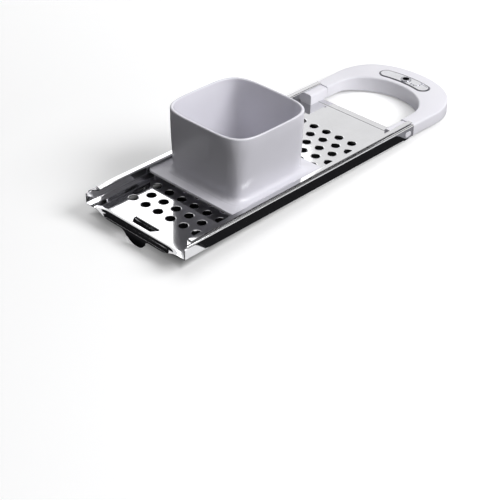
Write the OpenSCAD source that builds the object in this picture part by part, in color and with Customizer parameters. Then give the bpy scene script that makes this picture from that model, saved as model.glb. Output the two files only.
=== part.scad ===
// Sliding spaetzle maker.
// A bottomless plastic hopper runs to and fro over the drop holes of a folded steel tray,
// held down by the lips of its side channels. A plastic bow handle is clipped between the
// rear ends of the channels.
//
// Inside the modules x runs from the first row of holes toward the handle, y across
// the tray, and z = 0 is the top of the plate. in_frame() moves the finished pieces
// so that the middle of the whole object's base is the origin.

/* [Plate] */
// Distance between neighbouring holes of one row
hole_pitch = 14; // [12:0.5:15]
// Distance from one row of holes to the next
row_pitch = 12.36; // [10:0.02:13]
// Number of rows of holes
hole_rows = 16; // [4:1:16]
// Holes in the longer rows; the rows between have one fewer
holes_wide = 6; // [3:1:6]
// Diameter of a hole
hole_d = 7.5; // [5:0.1:9]
// Thickness of the sheet
sheet = 0.8; // [0.6:0.1:1]
// From the first row of holes to the front edge
front_margin = 30.5; // [28:0.5:36]
// From the last row of holes to the rear edge
rear_margin = 42.8; // [36:0.1:50]

/* [Side channels] */
// Width over both side walls
tray_w = 110.4; // [104:0.2:114]
// Radius of the bend between plate and wall, outside
floor_bend_r = 1.4; // [1.2:0.1:3]
// Height of the lip's underside over the plate
lip_under = 9.6; // [9:0.1:11]
// Radius of the bend between wall and lip, outside
lip_bend_r = 2; // [1.6:0.1:3]
// Distance between the lips' inner edges
lip_gap = 97; // [90:0.2:98]
// Width of the folded-back hem on the lip
hem_w = 4.6; // [3:0.1:5]
// How far the channels run on behind the plate
channel_overrun = 4.8; // [0:0.1:8]

/* [Front hook] */
// Radius of the plate's front bend, outside
nose_r = 5.5; // [4:0.1:8]
// How far the front bend turns down, in degrees
nose_turn = 102; // [90:1:110]
// Width of the front edge that is turned down fully
nose_w = 60; // [50:1:70]
// Width over which the turned-down edge runs out flat
nose_run = 93; // [80:1:98]
// Width of the tongue, without its fillets
tongue_w = 21; // [14:1:30]
// Depth of the tongue's tip under the plate's top
tongue_h = 15.5; // [12:0.5:22]
// Width of the slot and of the tab where the tab bends down out of it
tab_w = 27; // [20:1:32]
// Width of the slot's front end and of the tab's tip
tab_tip_w = 16; // [10:1:20]
// Length of the slot in front of the tab
slot_l = 7; // [5:0.5:9]
// Depth of the tab under the plate's top
tab_h = 9; // [6:0.5:12]

/* [Hopper] */
// Outer length of the hopper's rim along the tray
rim_l = 83.2; // [78:0.2:90]
// Outer width of the hopper's rim across the tray
rim_w = 87.4; // [80:0.2:90]
// Outer width of the hopper where it leaves the flange
base_w = 76.5; // [70:0.5:80]
// Height of the rim over the plate
rim_z = 63.2; // [50:0.2:80]
// Thickness of the hopper's wall
wall = 2.2; // [1.6:0.1:3]
// Length of the flange along the tray
flange_l = 100.4; // [90:0.2:110]
// Width of the flange under the lips
flange_w = 105; // [100:0.2:106]
// Thickness of the flange
flange_t = 2; // [1.6:0.1:2.5]
// Height of the flange's top over the plate
flange_z = 8.3; // [7.5:0.1:9]
// Middle of the hopper, measured from the first row of holes
hopper_x = 77.8; // [75:0.2:100]
// Running clearance between hopper and tray
run_gap = 0.3; // [0.2:0.05:0.4]

/* [Handle] */
// Length of the arms inside the channels
arm_l = 21.5; // [16:0.5:30]
// Distance between the inner faces of the arms
arm_gap = 82; // [78:1:86]
// Width over the bow
bow_w = 112; // [110:1:118]
// Height of the bow at its crown
bow_h = 14.8; // [12:0.1:18]
// How far the crown's underside hangs below the plate's top
bow_drop = 3.2; // [1:0.1:5]
// Reach of the bow's outside behind the channels
bow_reach = 77; // [70:0.5:90]
// Thickness of the bow at its crown
crown_t = 30; // [24:0.5:34]

/* [Inlay] */
// Length of the inlay across the crown
inlay_l = 52; // [40:1:60]
// Width of the inlay
inlay_w = 12.4; // [10:0.2:14]
// Height of the inlay over the bow
inlay_proud = 0.5; // [0.2:0.1:1]
// Radius of the hanging hole
hang_r = 3; // [2:0.1:4]
// Radius of the ring's flange
ring_r = 4.9; // [4.4:0.1:5.5]

/* [Hidden] */

steel = "#c9cbce";
white_plastic = "#ecebf3";
bright_metal = "#b9bcc2";
smooth = 96;
eps = 0.01;

// Along the tray
last_row_x = (hole_rows - 1) * row_pitch;
front_x = -front_margin;
rear_x = last_row_x + rear_margin;
channel_end = rear_x + channel_overrun;
bow_end = channel_end + bow_reach;
nose_x = front_x + nose_r;
tab_x = nose_x + slot_l + 2.2;
tab_r = 2.6;
tab_straight = tab_r + 0.4;
nose_steps = 20;
edge_steps = 16;
edge_turn = nose_turn * edge_steps / nose_steps;
edge_reach = nose_r * sin(edge_turn);
nose_h = nose_r - (nose_r - sheet / 2) * cos(edge_turn);

// Across and up the channel
wall_y = tray_w / 2;
floor_bend_y = wall_y - floor_bend_r;
lip_bend_y = wall_y - lip_bend_r;
lip_top = lip_under + sheet;
hem_gap = 0.5;
hem_r = sheet + hem_gap / 2;
hem_y = lip_gap / 2 + hem_r;
hem_z = lip_top + hem_gap / 2;
lip_front = front_x + 8.8;
lip_bevel = 7.6;

// Handle clip: an oval boss on each arm that snaps into a slot in the wall
clip_x = channel_end - 7.2;
clip_z = 3.9;
clip_l = 7.6;
clip_h = 4.6;
clip_gap = 0.15;
seat_gap = 0.05;

// Crown of the bow
crown_x = bow_end - crown_t / 2;
inlay_x = crown_x - 3.8;
inlay_arc_r = 90;
inlay_t = 1.6;
bow_top = bow_h - bow_drop;
inlay_z = bow_top + inlay_proud - inlay_t;

// Frame of the whole object
middle_x = (front_x + bow_end) / 2;
base_z = -tongue_h;

module in_frame() {
    translate([-middle_x, 0, -base_z]) children();
}

module both_sides() {
    children();
    mirror([0, 1, 0]) children();
}

// ---- Outlines ----

function sign_pow(v, p) = sign(v) * pow(abs(v), p);

// Closed outline of n points between an ellipse (power 2) and a square (high power)
function soft_square(half_x, half_y, power, n) =
    [for (i = [0:n - 1])
        let (a = 360 * i / n)
        [half_x * sign_pow(cos(a), 2 / power), half_y * sign_pow(sin(a), 2 / power)]];

// Closed outline of a rectangle with round corners, k steps in each corner
function round_rect(half_x, half_y, r, k) =
    [for (c = [0:3])
        let (sx = (c == 0 || c == 3) ? 1 : -1, sy = c < 2 ? 1 : -1)
        for (i = [0:k])
            let (a = 90 * c + 90 * i / k)
            [sx * (half_x - r) + r * cos(a), sy * (half_y - r) + r * sin(a)]];

function at_height(outline, z) = [for (p = outline) [p[0], p[1], z]];

// Skin through a list of rings with equal counts; the last ring meets the first if closed
module skin(rings, closed = false) {
    n = len(rings[0]);
    m = len(rings);
    bands = closed ? m : m - 1;
    sides = [for (j = [0:bands - 1], i = [0:n - 1])
        let (k = (i + 1) % n, u = (j + 1) % m)
        each [[j * n + i, u * n + k, j * n + k], [j * n + i, u * n + i, u * n + k]]];
    ends = closed ? [] : [
        [for (i = [0:n - 1]) i],
        [for (i = [n - 1:-1:0]) (m - 1) * n + i]];
    polyhedron(points = [for (ring = rings) each ring], faces = concat(ends, sides));
}

// Quarter of a sheet bend: outer radius r, thickness t, in the quadrant of sx and sy
module bend(r, t, sx, sy) {
    intersection() {
        difference() {
            circle(r, $fn = smooth);
            circle(r - t, $fn = smooth);
        }
        scale([sx, sy]) square(r + eps);
    }
}

module capsule(length, height) {
    square([length - height, height], center = true);
    for (side = [-1, 1])
        translate([side * (length - height) / 2, 0]) circle(height / 2, $fn = smooth);
}

// ---- Tray ----

module hole_field() {
    for (row = [0:hole_rows - 1]) {
        count = holes_wide - row % 2;
        for (i = [0:count - 1])
            translate([row * row_pitch, (i - (count - 1) / 2) * hole_pitch])
                circle(hole_d / 2, $fn = smooth);
    }
}

module plate() {
    translate([0, 0, -sheet]) linear_extrude(sheet) difference() {
        translate([nose_x, -floor_bend_y]) square([rear_x - nose_x, 2 * floor_bend_y]);
        hole_field();
        polygon([
            for (side = [-1, 1]) each [
                [side < 0 ? nose_x - 1 : tab_x, side * (side < 0 ? tab_tip_w : tab_w) / 2],
                [tab_x - tab_straight, side * tab_w / 2],
                [side < 0 ? tab_x : nose_x - 1, side * (side < 0 ? tab_w : tab_tip_w) / 2]]]);
    }
}

// Section of one side, drawn with y to the right and z up
module channel_section() {
    translate([floor_bend_y, floor_bend_r - sheet]) bend(floor_bend_r, sheet, 1, -1);
    translate([wall_y - sheet, floor_bend_r - sheet])
        square([sheet, lip_top - lip_bend_r - floor_bend_r + sheet]);
    translate([lip_bend_y, lip_top - lip_bend_r]) bend(lip_bend_r, sheet, 1, 1);
    translate([hem_y, lip_under]) square([lip_bend_y - hem_y, sheet]);
    translate([hem_y, hem_z]) {
        bend(hem_r, sheet, -1, 1);
        bend(hem_r, sheet, -1, -1);
        translate([0, hem_gap / 2]) square([hem_w - hem_r, sheet]);
    }
}

module channel() {
    difference() {
        translate([front_x, 0, 0]) rotate([90, 0, 90])
            linear_extrude(channel_end - front_x) channel_section();
        lip_front_cut();
        clip_hole();
    }
}

// Takes the lip off at the front, on a slant from its inner edge to the wall
module lip_front_cut() {
    translate([0, 0, lip_top - lip_bend_r]) linear_extrude(20) polygon([
        [front_x - 1, 0],
        [lip_front, 0],
        [lip_front, lip_gap / 2],
        [lip_front - lip_bevel, wall_y + 1],
        [front_x - 1, wall_y + 1]]);
    translate([0, 0, lip_top + eps]) linear_extrude(20)
        translate([front_x - 1, 0]) square([lip_front - front_x + 1, wall_y]);
}

module clip_hole() {
    translate([clip_x, wall_y + 1, clip_z]) rotate([90, 0, 0])
        linear_extrude(sheet + 2) capsule(clip_l, clip_h);
}

// Plain strip of sheet out to the front edge, at each corner
module front_corner() {
    translate([front_x, nose_run / 2 - 0.6, -sheet])
        cube([nose_r + eps, floor_bend_y - nose_run / 2 + 0.6, sheet]);
}

// Section of the sheet in front of the plate that reaches out by l while it turns down by a;
// it starts inside the plate, so it is thinner by g on both sides
function edge_ring(y, l, a, g) =
    let (
        r = l / sin(a),
        turns = [for (i = [0:edge_steps]) a * i / edge_steps],
        outer = [for (t = turns) [-(r - g) * sin(t), (r - g) * cos(t) - r]],
        inner = [for (i = [edge_steps:-1:0])
            let (q = r - sheet + g)
            [-q * sin(turns[i]), q * cos(turns[i]) - r]])
    [for (p = concat([[1.5, -g]], outer, inner, [[1.5, g - sheet]])) [nose_x + p[0], y, p[1]]];

// Turned-down front edge, which flattens out toward both corners
module front_edge() {
    full = nose_w / 2;
    run = (nose_run - nose_w) / 2;
    half = concat(
        [for (i = [0:10])
            let (s = i / 10)
            [full + run * s, edge_reach, 6 + (edge_turn - 6) * (1 + cos(180 * s)) / 2, 0.03]],
        [[full + run + 1.2, edge_reach - 0.5, 2, 0.28]]);
    skin([for (side = [1, -1], i = [0:11])
        let (h = half[side > 0 ? 11 - i : i])
        edge_ring(side * h[0], h[1], h[2], h[3])]);
}

// Side view of the tongue, which starts inside the front edge's sheet and carries its bend on
module tongue_section() {
    g = 0.06;
    end = 90 + nose_turn;
    turns = [for (i = [8:nose_steps]) 90 + nose_turn * i / nose_steps];
    outer_r = nose_r - g;
    inner_r = nose_r - sheet + g;
    straight = tongue_h * [cos(end + 90), sin(end + 90)];
    polygon(concat(
        [for (a = turns) outer_r * [cos(a), sin(a)]],
        [outer_r * [cos(end), sin(end)] + straight, inner_r * [cos(end), sin(end)] + straight],
        [for (i = [len(turns) - 1:-1:0]) inner_r * [cos(turns[i]), sin(turns[i])]]));
}

// Front view of the tongue, with the fillets that lead down to it
module tongue_outline() {
    fillet = 5;
    tip_r = tongue_w / 2;
    half = tip_r + fillet;
    difference() {
        union() {
            translate([-half, -nose_h - fillet]) square([2 * half, nose_h + fillet]);
            translate([-tip_r, tip_r - tongue_h]) square([tongue_w, tongue_h - tip_r - nose_h]);
            translate([0, tip_r - tongue_h]) circle(tip_r, $fn = smooth);
        }
        for (side = [-1, 1])
            translate([side * (tip_r + fillet), -nose_h - fillet]) circle(fillet, $fn = smooth);
    }
}

module tongue() {
    intersection() {
        translate([nose_x, tongue_w, -nose_r]) rotate([90, 0, 0])
            linear_extrude(2 * tongue_w) tongue_section();
        translate([front_x - 1, 0, 0]) rotate([90, 0, 90])
            linear_extrude(nose_r + 10) tongue_outline();
    }
}

// Tab bent down out of the slot: a rim stands between it and the tongue
module rim_tab() {
    half = tab_w / 2 - 0.5;
    intersection() {
        translate([tab_x, half, -tab_r]) rotate([90, 0, 0]) linear_extrude(2 * half) {
            bend(tab_r, sheet, -1, 1);
            translate([-tab_r, tab_r - tab_h]) square([sheet, tab_h - tab_r]);
        }
        translate([tab_x - 5, 0, 0]) rotate([90, 0, 90]) linear_extrude(6) polygon([
            [half + 0.1, 1],
            [half + 0.1, -1],
            [tab_tip_w / 2, -tab_h - 0.1],
            [-tab_tip_w / 2, -tab_h - 0.1],
            [-half - 0.1, -1],
            [-half - 0.1, 1]]);
    }
}

module rear_hem() {
    fold_r = 1.1;
    fold_l = 5;
    translate([rear_x, floor_bend_y, -fold_r]) rotate([90, 0, 0]) linear_extrude(2 * floor_bend_y) {
        bend(fold_r, sheet, 1, 1);
        bend(fold_r, sheet, 1, -1);
        translate([-fold_l, -fold_r]) square([fold_l, sheet]);
    }
}

module tray() {
    color(steel) {
        plate();
        both_sides() {
            channel();
            front_corner();
        }
        front_edge();
        tongue();
        rim_tab();
        rear_hem();
    }
}

// ---- Hopper ----

flange_top = min(flange_z, lip_under - run_gap);
hopper_sides = 64;
throat = (base_w - wall) / 2;

// Width and squareness of the hopper's outside from the flange to the rim
function side_w(z, top_w) =
    base_w + (top_w - base_w) * pow((z - flange_top) / (rim_z - flange_top), 1.1);
function side_power(z) = 8.5 - 4.1 * (z - flange_top) / (rim_z - flange_top);

// Ring around the hopper, grown by g on each side, with the size it has at height z
function hopper_ring(z, g, h) =
    at_height(soft_square(side_w(z, rim_l) / 2 + g, side_w(z, rim_w) / 2 + g, side_power(z),
        hopper_sides), h);

// Rings up the outside, over the rim and down the inside
function hopper_rings() =
    let (
        fillet = 5,
        lip_r = wall / 2,
        foot = [[run_gap, 0], [flange_top - 1.3, 0], [flange_top - 0.7, fillet]],
        plinth = [for (t = [12, 26, 40, 55, 72, 90])
            [flange_top + fillet * (1 - cos(t)), fillet * (1 - sin(t))]],
        side = [for (i = [1:5])
            [flange_top + fillet + (rim_z - lip_r - flange_top - fillet) * i / 5, 0]],
        skin_out = [for (p = concat(foot, plinth, side))
            hopper_ring(max(p[0], flange_top), p[1], p[0])],
        rim = [for (a = [30:30:150])
            hopper_ring(rim_z, lip_r * (cos(a) - 1), rim_z - lip_r + lip_r * sin(a))],
        skin_in = [for (i = [5:-1:0])
            let (z = run_gap + (rim_z - lip_r - run_gap) * i / 5)
            hopper_ring(max(z, flange_top), -wall, z)])
    concat(skin_out, rim, skin_in);

module hopper_wall() {
    skin(hopper_rings(), closed = true);
}

module flange() {
    edge = 0.6;
    lx = flange_l / 2;
    ly = flange_w / 2;
    skin([for (step = [[flange_t, 0], [edge, 0], [edge * 0.3, edge * 0.3], [0, edge]])
        at_height(round_rect(lx - step[1], ly - step[1], 9 - step[1], 6), flange_top - step[0])]);
}

module runners() {
    both_sides()
        translate([8 - flange_l / 2, flange_w / 2 - 3.6, run_gap])
            cube([flange_l - 16, 1.6, flange_top - run_gap - flange_t / 2]);
}

module hopper() {
    color(white_plastic) translate([hopper_x, 0, 0]) {
        difference() {
            union() {
                flange();
                runners();
            }
            linear_extrude(flange_top + 1)
                polygon(soft_square(throat, throat, side_power(flange_top), hopper_sides));
        }
        hopper_wall();
    }
}

// ---- Handle ----

bow_steps = 30;
inner_reach = bow_reach - crown_t;
inner_round = 32;
outer_round = 48;

// Points of the bow's inside and outside at a turn of a from one arm to the other
function bow_in(a) =
    [channel_end + inner_reach - inner_round + inner_round * cos(a), arm_gap / 2 * sin(a)];
function bow_out(a) =
    [bow_end - outer_round + outer_round * sign_pow(cos(a), 2 / 2.2),
        bow_w / 2 * sign_pow(sin(a), 2 / 2.2)];

// Upright section of the bow between an inner and an outer point; s = 0 at the arms, where
// it is flush with the tray's sheet all round, and 1 along the crown
function bow_ring(inside, outside, s) =
    let (
        low = -sheet + (sheet - bow_drop) * s,
        high = lip_top + (bow_top - lip_top) * s,
        w = norm(outside - inside))
    [for (q = round_rect(w / 2, (high - low) / 2, 1.8, 5))
        let (p = (inside + outside) / 2 + (outside - inside) * q[0] / w)
        [p[0], p[1], (low + high) / 2 + q[1]]];

function arm_start(side) =
    bow_ring([channel_end + seat_gap, side * arm_gap / 2], [channel_end + seat_gap, side * wall_y], 0);

function ease(t) = t < 0 ? 0 : t > 1 ? 1 : t * t * (3 - 2 * t);

module bow() {
    skin(concat(
        [arm_start(1)],
        [for (i = [0:bow_steps])
            let (a = 90 - 180 * i / bow_steps)
            bow_ring(bow_in(a), bow_out(a), ease((90 - abs(a)) / 50))],
        [arm_start(-1)]));
}

// Section of an arm: rounded on its inner top edge and where the plate bends up
module arm_section() {
    top = lip_under - seat_gap;
    arm_y = wall_y - sheet - seat_gap;
    edge_r = 2.4;
    translate([arm_gap / 2, 0]) difference() {
        translate([0.2, seat_gap]) square([arm_y - arm_gap / 2 - 0.2, top - seat_gap]);
        translate([0, top - edge_r]) difference() {
            translate([-1, 0]) square([edge_r + 1, edge_r + 1]);
            translate([edge_r, 0]) circle(edge_r, $fn = smooth);
        }
        translate([arm_y - arm_gap / 2 - floor_bend_r, 0])
            polygon([[0, -1], [0, seat_gap], [floor_bend_r, floor_bend_r], [floor_bend_r + 1, -1]]);
        translate([arm_y - arm_gap / 2 - lip_bend_r, top])
            polygon([
                [lip_bend_r * 0.3, 1],
                [lip_bend_r * 0.3, 0],
                [lip_bend_r, -lip_bend_r],
                [lip_bend_r + 1, 1]]);
    }
}

module arm() {
    translate([channel_end - arm_l, 0, 0]) rotate([90, 0, 90])
        linear_extrude(arm_l + 8) arm_section();
    translate([clip_x, wall_y + 0.3, clip_z]) rotate([90, 0, 0])
        linear_extrude(sheet + 1.3) capsule(clip_l - 2 * clip_gap, clip_h - 2 * clip_gap);
}

module handle() {
    color(white_plastic) difference() {
        union() {
            bow();
            both_sides() arm();
        }
        translate([0, 0, inlay_z]) linear_extrude(bow_h) inlay_outline(seat_gap);
        translate([inlay_x, 0, -bow_drop - 1])
            cylinder(r = hang_r + 0.8 + seat_gap, h = bow_h + 2, $fn = smooth);
    }
}

// ---- Inlay and ring ----

// Capsule bent along the crown
module inlay_outline(grow) {
    cap_r = inlay_w / 2 + grow;
    turn = asin((inlay_l - inlay_w) / 2 / inlay_arc_r);
    translate([inlay_x - inlay_arc_r, 0]) {
        intersection() {
            difference() {
                circle(inlay_arc_r + cap_r, $fn = 4 * smooth);
                circle(inlay_arc_r - cap_r, $fn = 4 * smooth);
            }
            polygon([[0, 0],
                2 * inlay_arc_r * [cos(turn), -sin(turn)],
                2 * inlay_arc_r * [cos(turn), sin(turn)]]);
        }
        for (side = [-1, 1])
            rotate(side * turn) translate([inlay_arc_r, 0]) circle(cap_r, $fn = smooth);
    }
}

// Crescent sunk beside the ring, around a round island
module inlay_recess() {
    intersection() {
        difference() {
            translate([inlay_x - inlay_w, -inlay_l / 2])
                square([2 * inlay_w, inlay_l / 2 - ring_r - 3]);
            translate([inlay_x + 1.2, -ring_r - 5.8]) circle(4.2, $fn = smooth);
        }
        inlay_outline(-1.3);
    }
}

module handle_inlay() {
    color(bright_metal) translate([0, 0, inlay_z]) difference() {
        linear_extrude(inlay_t) inlay_outline(0);
        translate([0, 0, inlay_t - 0.6]) linear_extrude(1) inlay_recess();
        translate([inlay_x, 0, -1]) cylinder(r = hang_r + 0.8 + seat_gap, h = inlay_t + 2, $fn = smooth);
    }
}

// Tube through the bow with a rolled flange at each end
module hanging_ring() {
    ring_top = bow_h + inlay_proud;
    flange_h = 0.7;
    color(bright_metal) translate([inlay_x, 0, -bow_drop]) rotate_extrude($fn = smooth)
        difference() {
            union() {
                translate([hang_r, -flange_h]) square([0.8, ring_top + 2 * flange_h]);
                for (z = [-flange_h, ring_top])
                    translate([hang_r, z]) square([ring_r - hang_r - flange_h / 2, flange_h]);
                for (z = [-flange_h / 2, ring_top + flange_h / 2])
                    translate([ring_r - flange_h / 2, z]) circle(flange_h / 2, $fn = 24);
            }
        }
}

in_frame() tray();
in_frame() hopper();
in_frame() handle();
in_frame() handle_inlay();
in_frame() hanging_ring();
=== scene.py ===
# %% [markdown]
# # A sliding spaetzle maker
#
# A bottomless white hopper slides to and fro along a polished steel tray full of holes, and a
# white bow handle is clipped into the tray's rear end. The solids come from the CAD model and
# keep their places. This script gives them their surfaces, adds what the eye wants on top of
# them, and sets up the studio.

# %% Load the solids
import math

import bpy
from mathutils import Matrix, Vector


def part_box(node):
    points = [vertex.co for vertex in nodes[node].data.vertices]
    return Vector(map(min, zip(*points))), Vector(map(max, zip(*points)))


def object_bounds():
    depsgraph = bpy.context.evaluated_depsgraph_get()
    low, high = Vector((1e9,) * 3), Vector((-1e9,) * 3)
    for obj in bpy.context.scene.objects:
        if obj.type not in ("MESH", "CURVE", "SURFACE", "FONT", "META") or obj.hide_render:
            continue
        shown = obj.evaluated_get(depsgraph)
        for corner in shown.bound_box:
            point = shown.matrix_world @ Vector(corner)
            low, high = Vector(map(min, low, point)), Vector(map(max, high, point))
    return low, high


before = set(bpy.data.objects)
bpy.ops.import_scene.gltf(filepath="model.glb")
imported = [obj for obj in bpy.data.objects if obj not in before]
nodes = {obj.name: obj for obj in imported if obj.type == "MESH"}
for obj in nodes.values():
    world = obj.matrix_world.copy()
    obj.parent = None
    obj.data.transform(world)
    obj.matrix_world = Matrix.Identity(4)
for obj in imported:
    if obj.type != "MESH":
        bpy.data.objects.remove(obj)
cad_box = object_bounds()
MM = 0.001
print("pieces:", ", ".join(sorted(nodes)))

# %% [markdown]
# ## Where things are
#
# Nearly everything below is measured from the solids themselves, so the looks follow the model
# if a size changes. Only the grid of the drop holes and the fitted camera are given as numbers.

# %% Measure the solids
inlay_lo, inlay_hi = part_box("handle_inlay")
tray_lo, tray_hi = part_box("tray")
handle_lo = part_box("handle")[0]
whole_lo, whole_hi = cad_box
print("tray is", [round((b - a) / MM, 1) for a, b in zip(tray_lo, tray_hi)], "mm")

# %% [markdown]
# ## Writing shader maths as sums
#
# A shader graph is easier to read as an expression than as a web of nodes. `Signal` wraps one
# output socket and adds a Math node for each +, -, * or /. `Finish` is a material in the
# making: its `node` method adds any other node, with its settings first and its sockets after.

# %% Signal and Finish
class Signal:
    def __init__(self, finish, socket):
        self.finish = finish
        self.socket = socket

    def sum_node(self, operation, left, right):
        return self.finish.node("ShaderNodeMath", {"operation": operation}, {0: left, 1: right})

    def __add__(self, other):
        return self.sum_node("ADD", self, other)

    def __radd__(self, other):
        return self.sum_node("ADD", other, self)

    def __sub__(self, other):
        return self.sum_node("SUBTRACT", self, other)

    def __rsub__(self, other):
        return self.sum_node("SUBTRACT", other, self)

    def __mul__(self, other):
        return self.sum_node("MULTIPLY", self, other)

    def __rmul__(self, other):
        return self.sum_node("MULTIPLY", other, self)

    def __truediv__(self, other):
        return self.sum_node("DIVIDE", self, other)

    def __pow__(self, power):
        return self.sum_node("POWER", self, power)

    def __abs__(self):
        return self.sum_node("ABSOLUTE", self, 0.0)

    def under(self, limit):
        return self.sum_node("LESS_THAN", self, limit)

    def over(self, limit):
        return self.sum_node("GREATER_THAN", self, limit)

    def rounded(self):
        return self.sum_node("ROUND", self, 0.0)

    def __mod__(self, other):
        return self.sum_node("FLOORED_MODULO", self, other)


class Finish:
    def __init__(self, name):
        self.material = bpy.data.materials.new(name)
        self.material.use_nodes = True
        self.tree = self.material.node_tree
        self.tree.nodes.clear()

    def node(self, kind, settings=None, sockets=None, output=0):
        made = self.tree.nodes.new(kind)
        for key, value in (settings or {}).items():
            if key == "stops":
                ramp = made.color_ramp
                while len(ramp.elements) < len(value):
                    ramp.elements.new(1.0)
                for element, (place, shade) in zip(ramp.elements, value):
                    element.position = place
                    element.color = (shade, shade, shade, 1)
            else:
                setattr(made, key, value)
        for key, value in (sockets or {}).items():
            if isinstance(value, Signal):
                self.tree.links.new(value.socket, made.inputs[key])
            else:
                made.inputs[key].default_value = value
        return Signal(self, made.outputs[output]) if made.outputs else None

    def place(self):
        """Position on the piece in metres, the same at every pose."""
        return self.node("ShaderNodeTexCoord", output="Object")

    def along(self, axis):
        return self.node("ShaderNodeSeparateXYZ", None, {"Vector": self.place()}, output=axis)

    def stretched(self, scale):
        return self.node("ShaderNodeMapping", None, {"Vector": self.place(), "Scale": scale})

    def noise(self, scale, detail=2.0, roughness=0.5, vector=None):
        return self.node("ShaderNodeTexNoise", None, {
            "Vector": vector or self.place(), "Scale": scale,
            "Detail": detail, "Roughness": roughness})

    def ramp(self, value, stops):
        return self.node("ShaderNodeValToRGB", {"stops": stops}, {"Fac": value})

    def blend(self, mask, first, second):
        """first where the mask is 0, second where it is 1."""
        return self.node("ShaderNodeMix", {"data_type": "RGBA"},
                         {"Factor": mask, 6: first, 7: second}, output=2)

    def looked_at(self):
        """1 for the camera and for mirrors and glass, 0 for the light that a surface passes on."""
        rays = [self.node("ShaderNodeLightPath", output=name)
                for name in ("Is Camera Ray", "Is Glossy Ray", "Is Transmission Ray")]
        direct = self.node("ShaderNodeLightPath", output="Diffuse Depth").under(0.5)
        return self.largest(rays[0], rays[1], rays[2]) * direct

    def largest(self, *values):
        found = values[0]
        for value in values[1:]:
            found = self.node("ShaderNodeMath", {"operation": "MAXIMUM"}, {0: found, 1: value})
        return found

    def bump(self, height, distance, strength=1.0, under=None):
        sockets = {"Height": height, "Distance": distance, "Strength": strength}
        if under:
            sockets["Normal"] = under
        return self.node("ShaderNodeBump", None, sockets)

    def surface(self, **sockets):
        named = {key.replace("_", " "): value for key, value in sockets.items()}
        shader = self.node("ShaderNodeBsdfPrincipled", None, named)
        self.node("ShaderNodeOutputMaterial", None, {"Surface": shader})
        return self.material


print("shader tools ready")

# %% [markdown]
# ## Polished steel
#
# The tray is stainless sheet with a mirror polish. A perfect mirror looks unreal, so three
# small things break it: a slow waviness left by folding, fine polishing lines along the tray,
# and faint wipe marks that dull the gloss a little. The hem folded under the plate's rear edge
# prints through as a fine step across the tray, with a painted shade line along it, and each
# drop hole has a rounded rim where the punch went in. Bevelled edges would disturb the flat
# mirror around the holes, so the rims are painted into the normals instead: the shader finds
# the nearest hole from the pitch of the rows.

# %% Polished steel
PLATE_TOP = whole_lo[2] + 0.0155
CHANNEL_OVERRUN = 4.8 * MM
HEM_DEPTH = 6.2 * MM
HEM_LINE = tray_hi[0] - CHANNEL_OVERRUN - HEM_DEPTH
FIRST_ROW = tray_lo[0] + 30.5 * MM
HOLE_PITCH, ROW_PITCH, HOLE_RADIUS = 14 * MM, 12.36 * MM, 3.75 * MM
LAST_ROW = 15
FIELD_HALF_WIDTH = 40 * MM
RIM_WIDTH = 0.7 * MM


def hole_rims(f):
    """0 at the edge of the nearest hole, rising to 1 over the width of its rounded rim."""
    rows = (f.along("X") - FIRST_ROW) / ROW_PITCH
    row = rows.rounded()
    half_step = 0.5 - 0.5 * (row % 2.0)
    across = f.along("Y") / HOLE_PITCH + half_step
    dx = (rows - row) * ROW_PITCH
    dy = (across - across.rounded()) * HOLE_PITCH
    edge = (dx * dx + dy * dy) ** 0.5 - HOLE_RADIUS
    beside = abs(f.along("Y")).over(FIELD_HALF_WIDTH)
    off_field = f.largest(row.over(LAST_ROW + 0.5), row.under(-0.5), beside)
    return f.largest(f.ramp(edge / RIM_WIDTH, [(0.0, 0.0), (0.6, 0.75), (1.0, 1.0)]), off_field)


def polished_steel():
    f = Finish("polished_steel")
    slow = f.noise(18.0, detail=1.0)
    lines = f.noise(1.0, detail=3.0, roughness=0.6, vector=f.stretched((30.0, 2600.0, 2600.0)))
    wipes = f.ramp(f.noise(34.0, detail=4.0, roughness=0.6), [(0.42, 0.0), (0.70, 1.0)])
    tint = f.blend(wipes, (0.72, 0.72, 0.735, 1), (0.68, 0.68, 0.692, 1))
    on_top = f.along("Z").under(PLATE_TOP + 0.3 * MM)
    flat = on_top * abs(f.along("Y")).under(tray_hi[1] - 3.5 * MM)
    behind = f.along("X") - HEM_LINE
    hem = f.ramp(behind / (1.6 * MM) + 0.5, [(0.0, 0.0), (1.0, 1.0)])
    # Painted shade: a dark line across the plate where the hem folds under its rear edge.
    painted_shade_line = f.ramp(abs(behind) / (0.7 * MM), [(0.0, 1.0), (0.5, 0.8), (1.0, 0.0)]) * flat
    tint = f.blend(painted_shade_line, tint, (0.24, 0.24, 0.25, 1))
    shine = f.bump(slow, 0.9 * MM, 0.35)
    shine = f.bump(hem * flat, 0.6 * MM, 1.0, under=shine)
    shine = f.bump(hole_rims(f) * flat, 0.35 * MM, 1.0, under=shine)
    shine = f.bump(lines, 0.004 * MM, 0.5, under=shine)
    return f.surface(Base_Color=tint, Metallic=1.0, Roughness=0.045 + wipes * 0.05 + lines * 0.03,
                     Normal=shine)


steel = polished_steel()
print("made", steel.name)

# %% [markdown]
# ## White plastics
#
# The hopper is moulded with a high gloss; its walls are a little uneven, which bends the
# reflections. The handle is the same white with a softer gloss and a very fine grain. Where the
# bright inlay sits in the handle, a painted shade line follows its outline, a capsule bent round
# an arc, standing in for the shadow in the seat's gap.

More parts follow.
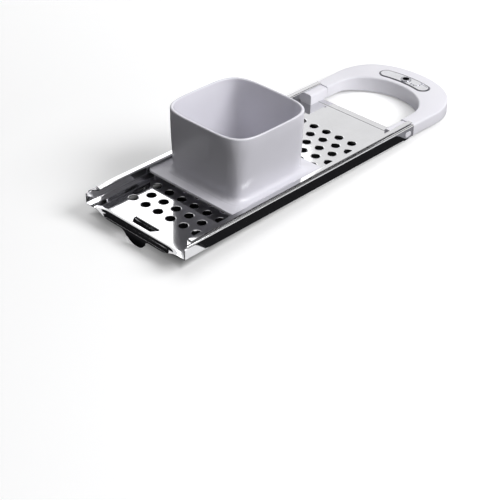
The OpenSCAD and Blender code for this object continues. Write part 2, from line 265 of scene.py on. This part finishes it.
# %% White plastics
def moulded_plastic(name, white, shaded, gloss, grain_depth, seat_shade=None):
    f = Finish(name)
    drift = f.noise(26.0, detail=2.0)
    flow = f.noise(7.0, detail=1.0)
    grain = f.noise(2600.0, detail=1.0)
    rub = f.ramp(f.noise(60.0, detail=5.0, roughness=0.65), [(0.45, 0.0), (0.75, 1.0)])
    colour = f.blend(f.ramp(drift, [(0.3, 0.0), (0.7, 1.0)]), white, shaded)
    if seat_shade:
        # Painted shade: a dark line on the handle along the inlay's outline, where the seat's gap
        # falls into shadow.
        colour = f.blend(seat_shade(f), colour, (0.10, 0.10, 0.12, 1))
    skin = f.bump(flow, 1.2 * MM, 0.3)
    skin = f.bump(grain, grain_depth, 0.5, under=skin)
    return f.surface(Base_Color=colour, Roughness=gloss + rub * 0.08, IOR=1.5, Normal=skin)


INLAY_ARC = 90 * MM
INLAY_HALF = (inlay_hi[1] - inlay_lo[1]) / 2
INLAY_RADIUS = 6.2 * MM
INLAY_X = inlay_hi[0] - INLAY_RADIUS


def from_inlay_edge(f):
    """Distance outside the inlay's capsule outline in metres, negative inside it."""
    x = f.along("X") - (INLAY_X - INLAY_ARC)
    y = f.along("Y")
    across = (x * x + y * y) ** 0.5 - INLAY_ARC
    turn = f.node("ShaderNodeMath", {"operation": "ARCTAN2"}, {0: y, 1: x})
    end_turn = math.asin((INLAY_HALF - INLAY_RADIUS) / INLAY_ARC)
    past_end = f.largest((abs(turn) - end_turn) * INLAY_ARC, 0.0)
    return (across * across + past_end * past_end) ** 0.5 - INLAY_RADIUS


# Painted shade mask: 1 up to the inlay's outline, fading to nothing 1.2 mm outside it.
def painted_seat_shade(f):
    edge = from_inlay_edge(f)
    top = f.along("Z").over(inlay_lo[2])
    return f.ramp(edge / (1.2 * MM), [(0.0, 1.0), (0.45, 1.0), (1.0, 0.0)]) * top


hopper_white = moulded_plastic(
    "hopper_white", (0.80, 0.79, 0.855, 1), (0.775, 0.765, 0.83, 1),
    gloss=0.20, grain_depth=0.004 * MM)
handle_white = moulded_plastic(
    "handle_white", (0.86, 0.85, 0.905, 1), (0.83, 0.82, 0.88, 1),
    gloss=0.30, grain_depth=0.01 * MM, seat_shade=painted_seat_shade)
print("made", hopper_white.name, "and", handle_white.name)

# %% [markdown]
# ## Bright metal on the handle
#
# The inlay and the ring are small polished pieces with lines across the handle. The inlay's
# last millimetre is painted darker, a painted reflection of its dark seat in its rolled rim.

# %% Bright metal
def bright_metal(name, tone, rough, rim_reflection=None):
    f = Finish(name)
    lines = f.noise(1.0, detail=3.0, vector=f.stretched((2400.0, 60.0, 2400.0)))
    smudge = f.ramp(f.noise(120.0, detail=4.0), [(0.45, 0.0), (0.7, 1.0)])
    colour = f.blend(smudge, tone, tuple(0.93 * c for c in tone[:3]) + (1,))
    if rim_reflection:
        # Painted reflection: the inlay's rim darkened as if it mirrored its dark seat.
        colour = f.blend(rim_reflection(f), colour, (0.16, 0.16, 0.18, 1))
    return f.surface(Base_Color=colour, Metallic=1.0,
                     Roughness=rough + smudge * 0.06 + lines * 0.04,
                     Normal=f.bump(lines, 0.005 * MM, 0.4))


# Painted reflection mask: 0 from a millimetre inside the inlay's outline, 1 at the outline.
def painted_rim_reflection(f):
    return f.ramp(from_inlay_edge(f) / MM + 1.0, [(0.0, 0.0), (0.35, 0.9), (1.0, 1.0)])


inlay_metal = bright_metal("inlay_metal", (0.74, 0.74, 0.77, 1), 0.10, rim_reflection=painted_rim_reflection)
ring_metal = bright_metal("ring_metal", (0.42, 0.42, 0.45, 1), 0.12)
print("made", inlay_metal.name, "and", ring_metal.name)

# %% [markdown]
# ## Dressing the pieces
#
# The solids are the pieces themselves: nothing on this tool is soft, so no piece is replaced.
# Each one only trades its plain material for its finish.

# %% Dress the solids
FINISHES = {"tray": steel, "hopper": hopper_white, "handle": handle_white,
            "handle_inlay": inlay_metal, "hanging_ring": ring_metal}

for node, material in FINISHES.items():
    nodes[node].data.materials.clear()
    nodes[node].data.materials.append(material)
    print(node, "wears", material.name)

# %% [markdown]
# ## Round surfaces without facets
#
# The solids come as triangles that share no corners, so a bend shows its flat strips. The mesh
# itself has to stay as it is, so a Geometry Nodes modifier does the work on top of it: corners
# that touch are merged, all faces are shaded smooth, and an edge stays sharp only where its two
# faces turn by more than a given angle. The inlay gets a small bevel first, because its rolled
# edge catches a line of light.

# %% Smooth shading
TOUCHING = 0.002 * MM


def smooth_rule(sharp_degrees):
    tree = bpy.data.node_groups.new(f"smooth_under_{sharp_degrees}", "GeometryNodeTree")
    tree.interface.new_socket("Mesh", in_out="INPUT", socket_type="NodeSocketGeometry")
    tree.interface.new_socket("Mesh", in_out="OUTPUT", socket_type="NodeSocketGeometry")
    made = {}
    for name, kind in (("start", "NodeGroupInput"), ("old", "GeometryNodeRemoveAttribute"),
                       ("weld", "GeometryNodeMergeByDistance"),
                       ("faces", "GeometryNodeSetShadeSmooth"),
                       ("edges", "GeometryNodeSetShadeSmooth"), ("end", "NodeGroupOutput"),
                       ("angle", "GeometryNodeInputMeshEdgeAngle"),
                       ("sharp", "FunctionNodeCompare")):
        made[name] = tree.nodes.new(kind)
    made["old"].inputs["Name"].default_value = "custom_normal"
    made["weld"].inputs["Distance"].default_value = TOUCHING
    made["faces"].domain = "FACE"
    made["edges"].domain = "EDGE"
    made["edges"].inputs["Shade Smooth"].default_value = False
    made["sharp"].operation = "GREATER_THAN"
    made["sharp"].inputs["B"].default_value = math.radians(sharp_degrees)
    path = [made[name] for name in ("start", "old", "weld", "faces", "edges", "end")]
    for first, second in zip(path, path[1:]):
        tree.links.new(first.outputs[0], second.inputs[0])
    tree.links.new(made["angle"].outputs["Unsigned Angle"], made["sharp"].inputs["A"])
    tree.links.new(made["sharp"].outputs[0], made["edges"].inputs["Selection"])
    return tree


def round_edges(node, radius):
    weld = nodes[node].modifiers.new("weld", "WELD")
    weld.merge_threshold = TOUCHING
    bevel = nodes[node].modifiers.new("edge_rounding", "BEVEL")
    bevel.width = radius
    bevel.segments = 3
    bevel.limit_method = "ANGLE"
    bevel.angle_limit = math.radians(50)
    bevel.harden_normals = False


round_edges("handle_inlay", 0.35 * MM)

SHARP_OVER = {"tray": 25, "hopper": 40, "handle": 32, "handle_inlay": 25, "hanging_ring": 40}
for node, degrees in SHARP_OVER.items():
    nodes[node].modifiers.new("smooth_shading", "NODES").node_group = smooth_rule(degrees)
    print(node, "is sharp over", degrees, "degrees")

# %% [markdown]
# ## Studio
#
# The tool stands on its front tongue and on the crown of its handle, as it would on a table, so
# the floor tilts a little. The floor looks nearly white to the camera and in the steel, and
# keeps the shadow. The light that it passes on to the tool is another matter: as if the front
# hung over something dark, it passes on little there, which keeps the left side of the hopper in
# shade, and inside the bow it passes on most, which lights the bow's inner side. Far from the
# lamps the floor glows a little more, so that it stays as pale as the wall behind it.

# %% Floor
CROWN_FOOT = whole_hi[0] - 15 * MM
LOOP_SPAN = 0.40


def floor_plane(reach):
    rise = math.atan2(handle_lo[2] - whole_lo[2], CROWN_FOOT - whole_lo[0])
    mesh = bpy.data.meshes.new("floor")
    corners = [(-reach, -reach, 0), (reach, -reach, 0), (reach, reach, 0), (-reach, reach, 0)]
    mesh.from_pydata(corners, [], [(0, 1, 2, 3)])
    plane = bpy.data.objects.new("floor", mesh)
    plane.matrix_world = (Matrix.Translation((whole_lo[0], 0, whole_lo[2] - 0.0004))
                          @ Matrix.Rotation(-rise, 4, "Y"))
    bpy.context.collection.objects.link(plane)
    f = Finish("floor_paper")
    seen = f.looked_at()
    speck = f.noise(900.0, detail=2.0)
    paper = f.blend(speck, (0.90, 0.90, 0.91, 1), (0.93, 0.93, 0.93, 1))
    x, y = f.along("X"), f.along("Y")
    distance = (x * x + y * y) ** 0.5
    far = f.ramp(distance / 3.0,
                 [(0.08, 0.24), (0.22, 0.36), (0.36, 0.58), (0.60, 0.78), (1.0, 0.84)])
    glow = f.blend(seen, (0, 0, 0, 1), far)
    passed_on = f.ramp(x / LOOP_SPAN, [(0.0, 0.14), (0.45, 0.16), (0.75, 0.34)])
    in_loop = f.ramp(x / LOOP_SPAN, [(0.55, 0.0), (0.70, 1.0)])
    in_loop = in_loop * f.ramp(abs(y) / (LOOP_SPAN / 4), [(0.40, 1.0), (0.60, 0.0)])
    passed_on = f.blend(in_loop, passed_on, (0.80, 0.80, 0.80, 1))
    f.surface(Base_Color=f.blend(seen, passed_on, paper), Roughness=0.9,
              Emission_Color=glow, Emission_Strength=1.0, Specular_IOR_Level=0.0)
    mesh.materials.append(f.material)
    return plane


floor = floor_plane(6.0)
print("floor ready")

# %% [markdown]
# ## Lamps
#
# One soft key lamp stands to the right of the tool and above it, as the bright right side of
# the hopper shows. A larger and weaker one hangs overhead, and a small one at the back draws
# the light edge on the far rim. The overhead lamp isn't mirrored, because its square would show
# in the plate.

# %% Lamps
def soft_lamp(name, place, aim, size, power):
    lamp = bpy.data.lights.new(name, "AREA")
    lamp.shape = "RECTANGLE"
    lamp.size, lamp.size_y = size
    lamp.energy = power
    holder = bpy.data.objects.new(name, lamp)
    holder.location = place
    holder.rotation_euler = (Vector(aim) - Vector(place)).to_track_quat("-Z", "Y").to_euler()
    holder.visible_camera = False
    bpy.context.collection.objects.link(holder)
    return holder


soft_lamp("key_lamp", (0.30, -1.0, 0.95), (0, 0, 0.02), (0.9, 0.6), 16.3)
top_lamp = soft_lamp("top_lamp", (0.10, 0.25, 1.3), (0, 0, 0), (1.4, 1.4), 5.0)
top_lamp.visible_glossy = False
soft_lamp("back_lamp", (0.35, 0.456, 0.47), (-0.13, 0, 0.02), (0.27, 0.25), 0.30)
print("lamps lit")

# %% [markdown]
# ## Black flags
#
# A mirror shows its surroundings, and in an all-white room polished steel looks like paper.
# Photographers stand black flags outside the picture to give it dark lines. These flags are seen
# by reflections alone: they throw no shadow and take no light from the plastic. Two lie on the
# floor for the outside of the walls and a grey one follows under the handle's end; two stand at
# the right and overhead for the lines along the lips; two stand at the left for the turned-down
# front edge.

# %% Flags
def black_flag(name, corners, place, tone=0.012):
    mesh = bpy.data.meshes.new(name)
    mesh.from_pydata(corners, [], [(0, 1, 2, 3)])
    flag = bpy.data.objects.new(name, mesh)
    flag.matrix_world = place
    bpy.context.collection.objects.link(flag)
    flag.visible_camera = False
    flag.visible_shadow = False
    flag.visible_diffuse = False
    flag.visible_transmission = False
    f = Finish(name)
    weave = f.noise(1500.0, detail=2.0)
    f.surface(Base_Color=f.blend(weave, (tone, tone, 1.08 * tone, 1),
                                 (tone + 0.01, tone + 0.01, 1.08 * tone + 0.011, 1)),
              Roughness=1.0, Specular_IOR_Level=0.0)
    mesh.materials.append(f.material)
    print(name, "is up")


def lying(x0, x1, y0, y1, height=0.8 * MM):
    """Corners just over the floor, with x from the tool's front end."""
    return [(x0, y0, height), (x1, y0, height), (x1, y1, height), (x0, y1, height)]


def standing(left, right, low, high):
    """Corners of an upright sheet between two points on the ground."""
    return [(*left, low), (*right, low), (*right, high), (*left, high)]


on_floor = floor.matrix_world
upright = Matrix.Identity(4)
black_flag("flag_under_tray", lying(0.034, 0.262, -0.35, 0.30), on_floor)
black_flag("flag_under_front", lying(-0.25, 0.034, -0.044, 0.30), on_floor)
black_flag("flag_under_rear", lying(0.262, 0.40, -0.35, 0.0), on_floor, tone=0.28)
black_flag("flag_over_right", [
    (0.40, -0.35, 0.98), (0.75, -0.35, 0.74), (0.75, 0.25, 0.74), (0.40, 0.25, 0.98)], upright)
black_flag("flag_behind_right", standing((0.45, -0.90), (0.95, -0.30), 0.50, 0.80), upright)
black_flag("flag_left", standing((-0.87, 0.38), (-0.50, 0.73), -0.02, 0.62), upright)
black_flag("flag_left_high", standing((-0.53, 0.47), (-0.04, 0.59), 0.45, 0.92), upright)

# %% [markdown]
# ## Painted shadow under the holes
#
# Seen through a perforated plate, a white floor would turn the drop holes grey. A dark card on
# the floor, a painted shadow under the plate, lets them read as holes. It is smaller than the
# plate, which hides it, and fades out at its edges like a shadow.

# %% Painted shadow under the holes
def painted_shadow_under_holes(x0, x1, y0, y1, fade):
    mesh = bpy.data.meshes.new("painted_shadow_under_holes")
    mesh.from_pydata(lying(x0, x1, y0, y1, 0.5 * MM), [], [(0, 1, 2, 3)])
    card = bpy.data.objects.new("painted_shadow_under_holes", mesh)
    card.matrix_world = on_floor
    bpy.context.collection.objects.link(card)
    f = Finish("painted_shadow_felt")
    x, y = f.along("X"), f.along("Y")
    outside = f.largest(x0 + fade - x, x - (x1 - fade), y0 + fade - y, y - (y1 - fade), 0.0)
    shadow_speck = f.noise(1500.0, detail=2.0)
    # Painted shadow: a near-black card under the plate that fades out at its edges.
    f.surface(Base_Color=f.blend(shadow_speck, (0.016, 0.016, 0.017, 1), (0.028, 0.028, 0.03, 1)),
              Roughness=1.0, Specular_IOR_Level=0.0,
              Alpha=f.ramp(outside / fade, [(0.0, 1.0), (1.0, 0.0)]))
    mesh.materials.append(f.material)
    print("card is", round((x1 - x0) / MM), "by", round((y1 - y0) / MM), "mm")


painted_shadow_under_holes(x0=0.004, x1=0.240, y0=-0.046, y1=0.062, fade=14 * MM)

# %% [markdown]
# ## World
#
# The world is plain white wherever it is looked at, straight or in a mirror. As a light it is
# far weaker, so that the lamps model the shapes, and a little weaker still on the side that the
# tool's front faces.

# %% World
FILL, FILL_TILT = 0.17, 0.09


def studio_world():
    world = bpy.data.worlds.new("studio")
    bpy.context.scene.world = world
    world.use_nodes = True
    tree = world.node_tree
    tree.nodes.clear()
    path = tree.nodes.new("ShaderNodeLightPath")

    def pair(operation, first, second):
        made = tree.nodes.new("ShaderNodeMath")
        made.operation = operation
        for place, value in enumerate((first, second)):
            if isinstance(value, float):
                made.inputs[place].default_value = value
            else:
                tree.links.new(value, made.inputs[place])
        return made.outputs[0]

    seen = pair("MAXIMUM", path.outputs["Is Camera Ray"], path.outputs["Is Glossy Ray"])
    seen = pair("MAXIMUM", seen, path.outputs["Is Transmission Ray"])
    seen = pair("MULTIPLY", seen, pair("LESS_THAN", path.outputs["Diffuse Depth"], 0.5))
    strength = tree.nodes.new("ShaderNodeMapRange")
    toward = tree.nodes.new("ShaderNodeSeparateXYZ")
    tree.links.new(tree.nodes.new("ShaderNodeTexCoord").outputs["Generated"], toward.inputs[0])
    fill = pair("ADD", pair("MULTIPLY", toward.outputs["X"], FILL_TILT), FILL)
    tree.links.new(fill, strength.inputs["To Min"])
    strength.inputs["To Max"].default_value = 1.0
    tree.links.new(seen, strength.inputs["Value"])
    shade = tree.nodes.new("ShaderNodeBackground")
    shade.inputs["Color"].default_value = (1, 1, 1, 1)
    tree.links.new(strength.outputs[0], shade.inputs["Strength"])
    output = tree.nodes.new("ShaderNodeOutputWorld")
    tree.links.new(shade.outputs[0], output.inputs["Surface"])


studio_world()
bpy.context.scene.view_settings.view_transform = "Standard"
print("studio lit")

# %% [markdown]
# ## Camera
#
# The camera was fitted to the grid of holes and the channels: a long lens, a little over half
# a metre off on each axis, with almost no roll.

# %% Camera
FRAME_SHIFT = Vector((-139.75, 0, 15.5)) * MM
CAMERA_PLACE = Vector((-553.9, -619.3, 528.7)) * MM + FRAME_SHIFT
CAMERA_RIGHT = Vector((0.6971, -0.7168, 0.0135))
CAMERA_DOWN = Vector((-0.3936, -0.3982, -0.8285))
FOCAL_PIXELS = 1297.0
PICTURE_SIDE = 500.0
SENSOR = 36.0

lens = bpy.data.cameras.new("camera")
lens.sensor_width = SENSOR
lens.lens = FOCAL_PIXELS / PICTURE_SIDE * SENSOR
lens.clip_start, lens.clip_end = 0.01, 50.0
camera = bpy.data.objects.new("camera", lens)
right = CAMERA_RIGHT.normalized()
back = right.cross(-CAMERA_DOWN).normalized()
up = back.cross(right)
turned = Matrix((right, up, back)).transposed().to_4x4()
camera.matrix_world = Matrix.Translation(CAMERA_PLACE) @ turned
bpy.context.collection.objects.link(camera)
bpy.context.scene.camera = camera
print("lens", round(lens.lens, 1), "mm")
